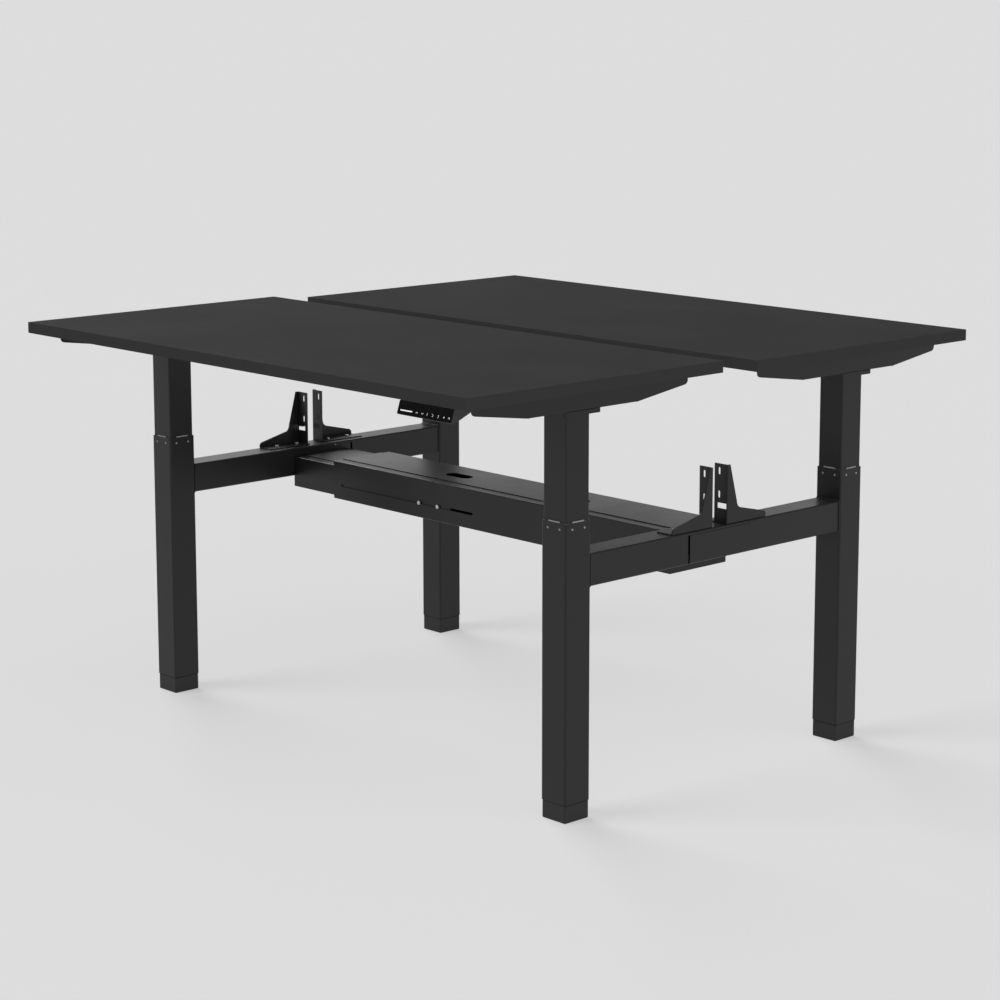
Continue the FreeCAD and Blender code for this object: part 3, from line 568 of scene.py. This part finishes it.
def dress_bolts(name, head_way):
    """Bolts in the places of a node's solids; head_way gives the heads' direction from a middle."""
    parts = []
    for low, high in bolt_boxes[name]:
        middle = (low + high) / 2
        way = np.asarray(head_way(middle), float)
        axis = int(np.argmax(np.abs(way)))
        size = high - low
        corner = max(size[k] for k in range(3) if k != axis) / 2
        shank = corner / CORNER_TO_SHANK
        head_high = shank * HEAD_TO_SHANK
        upright = bolt(shank, corner, head_high, size[axis] - head_high, BOLT_PITCH)
        parts.append(surface(lay_along(upright, middle - way * size[axis] / 2, way)))
    piece = make_piece("dressed_" + name, parts)
    piece.data.materials.append(zinc_bolts)
    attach(piece, "base")
    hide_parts(name)


def tray_bolt_way(middle):
    """Clamp bolts point out of the tray's sides, and end bolts point back into the tray."""
    if abs(middle[0]) > TRAY_END:
        return (-np.sign(middle[0]), 0.0, 0.0)
    return (0.0, np.sign(middle[1]), 0.0)


dress_bolts("bracket_bolts", lambda middle: (0.0, 0.0, 1.0))
dress_bolts("tray_bolts", tray_bolt_way)

# %% [markdown]
# ## Lifting screws
# Inside each leg a long screw turns in a fixed nut and carries the desktop up. It has four starts,
# so that one turn lifts 16 mm. The same thread formula is used on a long grid, with the flanks
# carried round the whole length, and the plain journal on top is left smooth for the gearbox.

# %% Lifting screws
SCREW_STARTS = 4
SCREW_PITCH = 0.004
SCREW_AROUND = 28
ROWS_PER_CREST = 7
THREAD_DEPTH = 0.35
JOURNAL = 0.039
JOURNAL_SHARE = 6 / 7
TIP_SHARE = 5.3 / 7
TIP_CHAMFER = 0.0008


def lifting_screw(leg):
    low, high = (np.array(v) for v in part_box("spindle_" + leg))
    centre, radius = (low + high) / 2, (high[0] - low[0]) / 2
    angle = np.arange(SCREW_AROUND) * 2 * math.pi / SCREW_AROUND
    step, top = high[2] - JOURNAL, high[2]
    threaded = np.arange(low[2], step, SCREW_PITCH / ROWS_PER_CREST)
    heights = np.concatenate([threaded, [step, step, top - TIP_CHAMFER, top]])
    radii = thread_radius(angle[None, :], (heights - low[2])[:, None], radius, SCREW_PITCH,
                          SCREW_STARTS, THREAD_DEPTH)
    radii[-3:-1] = radius * JOURNAL_SHARE
    radii[-1] = radius * TIP_SHARE
    grid = np.stack([centre[0] + radii * np.cos(angle), centre[1] + radii * np.sin(angle),
                     np.broadcast_to(heights[:, None], radii.shape)], axis=-1)
    piece = make_piece("lifting_screw_" + leg, [surface(grid)], 50.0)
    piece.data.materials.append(bright_steel)
    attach(piece, "screw_" + leg)
    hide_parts("spindle_" + leg)


for leg in LEGS:
    lifting_screw(leg)

# %% [markdown]
# ## Signs on the handsets
# Each handset shows a lit bar, two arrows, the numbers of its four memories and a small house.
# They lie on the sloping glass, so one helper turns a flat drawing (along, up) into points on that
# slope. The arrows, the bar and the house are thin strips: a flat profile carried along a line.

# %% Places on the glass
GLASS_TILT = math.radians(18.0)
GLASS_THICK = 0.0016
SIGN_PROUD = 0.00012
SIGN_HIGH = 0.0050
STRIP_DEEP = 0.0001


def glass_face(desk):
    """Lower left corner of the glass, its run to the right, its upward slope and its normal."""
    low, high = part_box("handset_glass_" + desk)
    turn = -1.0 if desk == "rear" else 1.0
    normal = np.array([0.0, -turn * math.cos(GLASS_TILT), math.sin(GLASS_TILT)])
    up = np.array([0.0, turn * math.sin(GLASS_TILT), math.cos(GLASS_TILT)])
    right = np.array([turn, 0.0, 0.0])
    corner = np.array([low[0] if turn > 0 else high[0], low[1] if turn > 0 else high[1],
                       low[2] + GLASS_THICK * math.sin(GLASS_TILT)])
    return corner, right, up, normal


def on_glass(desk, flat):
    """Points (along, up, lift) in metres from the glass's lower left corner, as places on it."""
    corner, right, up, normal = glass_face(desk)
    flat = np.asarray(flat, float)
    return corner + flat[:, :1] * right + flat[:, 1:2] * up + (flat[:, 2:] + SIGN_PROUD) * normal


def strip(line, width):
    """Grid of a flat strip: each point of the line carries a low four-cornered section, half the
    width to either side."""
    line = np.asarray(line, float)
    run = np.gradient(line, axis=0)
    run /= np.linalg.norm(run, axis=1, keepdims=True)
    side = np.stack([-run[:, 1], run[:, 0]], axis=1) * width / 2
    deep = np.full((len(line), 1), -STRIP_DEEP)
    top = np.zeros((len(line), 1))
    left, right = line + side, line - side
    return np.stack([np.hstack([left, deep]), np.hstack([right, deep]), np.hstack([right, top]),
                     np.hstack([left, top])], axis=1)


def strip_part(desk, line, width):
    grid = strip(line, width)
    placed = on_glass(desk, grid.reshape(-1, 3)).reshape(grid.shape)
    return surface(placed)


# %% [markdown]
# All the signs stand on one line across the glass, at these distances from its left end. The
# numbers are text, turned into a mesh before they are put in place.

# %% Arrows, bar and numbers
SIGN_LINE = 0.0085
ARROW_HALF = 0.0026
STROKE = 0.0009
ARROWS = ((0.056, 1.0), (0.072, -1.0))
BAR = (0.008, 0.043)
BAR_WIDE = 0.0024
NUMBERS = (0.086, 0.1016, 0.1176, 0.1335)
HOUSE = 0.148
HOUSE_HALF = 0.0020
HOUSE_WALL = 0.0012
HOUSE_HIGH = 0.0018


def number_mesh(text):
    """The mesh of one figure, centred on its own box, SIGN_HIGH tall."""
    curve = bpy.data.curves.new("figure_" + text, "FONT")
    curve.body = text
    writer = bpy.data.objects.new("figure_" + text, curve)
    mesh = bpy.data.meshes.new_from_object(writer)
    points = np.empty(len(mesh.vertices) * 3)
    mesh.vertices.foreach_get("co", points)
    points = points.reshape(-1, 3)
    points -= (points.min(axis=0) + points.max(axis=0)) / 2
    points *= SIGN_HIGH / np.ptp(points[:, 1])
    faces = [tuple(face.vertices) for face in mesh.polygons]
    bpy.data.objects.remove(writer)
    return points, faces


def signs(desk):
    parts = []
    for along, way in ARROWS:
        rise = way * ARROW_HALF / 2
        line = [(along - ARROW_HALF, SIGN_LINE - rise), (along, SIGN_LINE + rise),
                (along + ARROW_HALF, SIGN_LINE - rise)]
        parts.append(strip_part(desk, line, STROKE))
    parts.append(strip_part(desk, [(end, SIGN_LINE) for end in BAR], BAR_WIDE))
    house = [(HOUSE - HOUSE_HALF, SIGN_LINE), (HOUSE, SIGN_LINE + HOUSE_HIGH),
             (HOUSE + HOUSE_HALF, SIGN_LINE), (HOUSE + HOUSE_WALL, SIGN_LINE - HOUSE_HIGH)]
    parts.append(strip_part(desk, house, STROKE))
    marks = make_piece("signs_" + desk, parts)
    marks.data.materials.append(lit_signs)
    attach(marks, desk + "_desk")
    for text, along in zip("1234", NUMBERS):
        points, faces = number_mesh(text)
        flat = points + (along, SIGN_LINE, 0.0)
        mesh = bpy.data.meshes.new(f"memory_{text}_{desk}")
        mesh.from_pydata(on_glass(desk, flat).tolist(), [], faces)
        figure = bpy.data.objects.new(mesh.name, mesh)
        bpy.context.collection.objects.link(figure)
        mesh.materials.append(lit_signs)
        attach(figure, desk + "_desk")
    print("signs on the", desk, "handset")


signs("front")
signs("rear")

# %% [markdown]
# ## Weld beads
# The end beams are welded to the lower tubes. A bead is a rounded fillet with the ripples of the
# torch, painted with the frame. Its path goes once round the beam's end, and a small section is
# carried along it, swelling and shrinking with each ripple.

# %% Weld beads
BEAD = 0.0026
RIPPLE = 0.0016
BEAD_STEPS = 400
BEAD_CORNER = 0.003
SWELL = 0.10
SUNK = -0.3
ROUNDED = 0.8


def beam_ring(half_x, half_z, corner, count):
    """Evenly spaced points (x, z) round a rounded rectangle, and their outward directions. Each
    quarter is a straight side, then an arc of the corner's radius."""
    arc = math.pi / 2 * corner
    wide, tall = 2 * (half_x - corner), 2 * (half_z - corner)
    lengths = np.array([tall, arc, wide, arc, tall, arc, wide, arc])
    at = (np.arange(count) + 0.5) / count * lengths.sum()
    starts = np.concatenate([[0.0], np.cumsum(lengths)])
    leg = np.clip(np.searchsorted(starts, at, side="right") - 1, 0, 7)
    done = at - starts[leg]
    quarter = leg // 2
    on_arc = leg % 2 == 1
    turn = quarter * math.pi / 2 + np.where(on_arc, done / corner, 0.0)
    outward = np.stack([np.cos(turn), np.sin(turn)], axis=1)
    quadrant = np.array([[1, 1], [-1, 1], [-1, -1], [1, -1]])[quarter]
    corners = quadrant * (half_x - corner, half_z - corner)
    back = np.where(on_arc, 0.0, lengths[leg] - done)
    along = np.stack([-np.sin(turn), np.cos(turn)], axis=1)
    return corners + outward * corner - along * back[:, None], outward


def bead(x, face_y, way, low, high, half_x):
    """A bead round a beam's end at face_y, lying on the beam's outside and on the tube's face."""
    half_z = (high - low) / 2
    ring, outward = beam_ring(half_x, half_z, BEAD_CORNER, BEAD_STEPS)
    ripples = round(4 * (half_x + half_z) / RIPPLE)
    wave = np.abs(np.sin(math.pi * np.arange(BEAD_STEPS) / BEAD_STEPS * ripples))
    section = np.linspace(0, math.pi / 2, 6)
    out = np.concatenate([[SUNK], np.sin(section) ** ROUNDED]) * BEAD
    along = np.concatenate([[SUNK], np.cos(section) ** ROUNDED]) * BEAD
    reach = out[None, :, None] * (1 + SWELL * wave)[:, None, None]
    radial = ring[:, None, :] + outward[:, None, :] * reach
    depth = np.broadcast_to(face_y - way * along[None, :], radial.shape[:2])
    grid = np.stack([x + radial[..., 0], depth, (low + high) / 2 + radial[..., 1]], axis=-1)
    return surface(grid if way > 0 else grid[:, ::-1], closed=True)


beads = []
for leg in LEGS:
    low, high = (np.array(v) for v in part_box("crossbeam_" + leg))
    way = -1.0 if leg.startswith("front") else 1.0
    face = low[1] if way < 0 else high[1]
    beads.append(bead((low[0] + high[0]) / 2, face, way, low[2], high[2], (high[0] - low[0]) / 2))
welds = make_piece("weld_beads", beads, 60.0)
welds.data.materials.append(frame_black)
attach(welds, "base")

# %% [markdown]
# ## Floor and light
# A pale floor with no horizon. A plain matt floor would go dark under such a large black desk, so
# most of its brightness is its own, and only the rest answers to the lamps: the shadows stay faint
# and close to the feet. The room beyond it is as bright as the floor to the camera, and dimmer to
# the black surfaces, so that they stay black.

# %% Floor and backdrop
PALE = 0.723
FLOOR_TONE = 0.10
FLOOR_OWN = 0.4776
FLOOR_HALF = 90.0
ROOM_STEPS = ((0.0, 0.03), (0.15, 0.05), (0.4, 0.22), (0.6, 0.30), (0.95, 0.72))
ROOM_SOFT = 0.12
BACK_WAY = (-0.73, 0.68, 0.0)
floor_mesh = bpy.data.meshes.new("floor")
side = np.array([-1.0, 1.0]) * FLOOR_HALF
floor_mesh.from_pydata([(side[0], side[0], 0), (side[1], side[0], 0), (side[1], side[1], 0),
                        (side[0], side[1], 0)], [], [(0, 1, 2, 3)])
floor = bpy.data.objects.new("floor", floor_mesh)
bpy.context.collection.objects.link(floor)
floor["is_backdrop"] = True
paper = Finish("paper_floor", Specular_IOR_Level=0.0, Roughness=1.0, Emission_Strength=FLOOR_OWN,
               Emission_Color=(1, 1, 1, 1))
tone = paper.spread(paper.noise(3.0), 0.0, 1.0)
paper.feed(Base_Color=paper.between(tone, *((FLOOR_TONE * share,) * 3 + (1,)
                                            for share in (0.99, 1.01))))
floor_mesh.materials.append(paper.material)

world = bpy.data.worlds.new("studio")
bpy.context.scene.world = world
world.use_nodes = True
sky = world.node_tree


def sky_node(kind, settings, links, values):
    node = sky.nodes.new(kind)
    for key, value in settings.items():
        setattr(node, key, value)
    for key, value in values.items():
        node.inputs[key].default_value = value
    for key, output in links.items():
        sky.links.new(output, node.inputs[key])
    return node


outlook = sky_node("ShaderNodeTexCoord", {}, {}, {})
facing = sky_node("ShaderNodeVectorMath", {"operation": "DOT_PRODUCT"},
                  {0: outlook.outputs["Generated"]}, {1: BACK_WAY})
turned = sky_node("ShaderNodeMapRange", {}, {"Value": facing.outputs["Value"]},
                  {"From Min": -1.0})
wall = sky_node("ShaderNodeValToRGB", {}, {"Fac": turned.outputs["Result"]}, {})
ramp = wall.color_ramp.elements
for place, level in ROOM_STEPS[1:-1]:
    ramp.new(place)
for stop, (place, level) in zip(ramp, ROOM_STEPS):
    stop.position, stop.color = place, (level, level, level, 1.0)
path = sky_node("ShaderNodeLightPath", {}, {}, {})
soft = sky_node("ShaderNodeMix", {},
                {"Factor": path.outputs["Is Diffuse Ray"], "A": wall.outputs["Color"]},
                {"B": ROOM_SOFT})
choose = sky_node("ShaderNodeMix", {},
                  {"Factor": path.outputs["Is Camera Ray"], "A": soft.outputs["Result"]},
                  {"B": PALE})
sky.links.new(choose.outputs["Result"], sky.nodes["Background"].inputs["Strength"])
sky.nodes["Background"].inputs["Color"].default_value = (1, 1, 1, 1)
bpy.context.scene.view_settings.view_transform = "Standard"
print("backdrop", PALE, "room", ROOM_STEPS)

# %% [markdown]
# Two large lamps a long way off throw the soft shadows, from the front left and from the left, and
# a wider one fills in from the right. A sun with a wide disc is such a lamp, and it lights the
# floor evenly from end to end. The desktops would throw a wide dark patch, so only the legs shade
# the floor. The desk has lamps of its own, from the same sides, and every piece but the two boards
# shades those.


# %% Lamps
def collect(name, members):
    found = bpy.data.collections.new(name)
    for member in members:
        found.objects.link(member)
    return found


everything = [piece for piece in bpy.context.scene.objects
              if piece.type == "MESH" and piece is not floor]
legs = [nodes[name] for name in nodes if name.startswith(("lower_tube", "foot", "upper_tube"))]
shade = collect("pieces_that_shade", legs)
ground = collect("ground", [floor])
desk_pieces = collect("desk_pieces", everything)
below_boards = collect("below_boards", [piece for piece in everything
                                        if not piece.name.startswith("desktop")])


def far_lamp(name, heading, height, width, strength, lit, shades):
    """A lamp whose light travels along heading and comes down from height, both in degrees."""
    lamp = bpy.data.lights.new(name, "SUN")
    lamp.energy = strength
    lamp.angle = math.radians(width)
    holder = bpy.data.objects.new(name, lamp)
    holder.rotation_euler = (0.0, math.radians(90.0 - height), math.radians(heading + 180.0))
    holder.light_linking.receiver_collection = lit
    holder.light_linking.blocker_collection = shades
    bpy.context.collection.objects.link(holder)
    print(name, "heading", heading, "height", height)


# Name, heading, height, width, then its strength on the floor and on the desk.
LAMPS = (("front_left", 62.0, 35.0, 38.0, 4.8, 0.9),
         ("left", -12.0, 35.0, 38.0, 5.7, 1.9),
         ("right_fill", 165.0, 40.0, 90.0, 2.1, 1.9))
for name, heading, height, width, on_floor, on_desk in LAMPS:
    far_lamp(name + "_floor", heading, height, width, on_floor, ground, shade)
    far_lamp(name + "_desk", heading, height, width, on_desk, desk_pieces, below_boards)

# %% [markdown]
# ## Measure and finish
# The box of the finished desk is measured, and its change from the box it had when it was loaded is
# printed in millimetres.

# %% Finish
new_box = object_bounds()
change = np.array(new_box) - np.array(cad_box)
print("size change in mm:", np.round(1000 * change, 2).tolist())
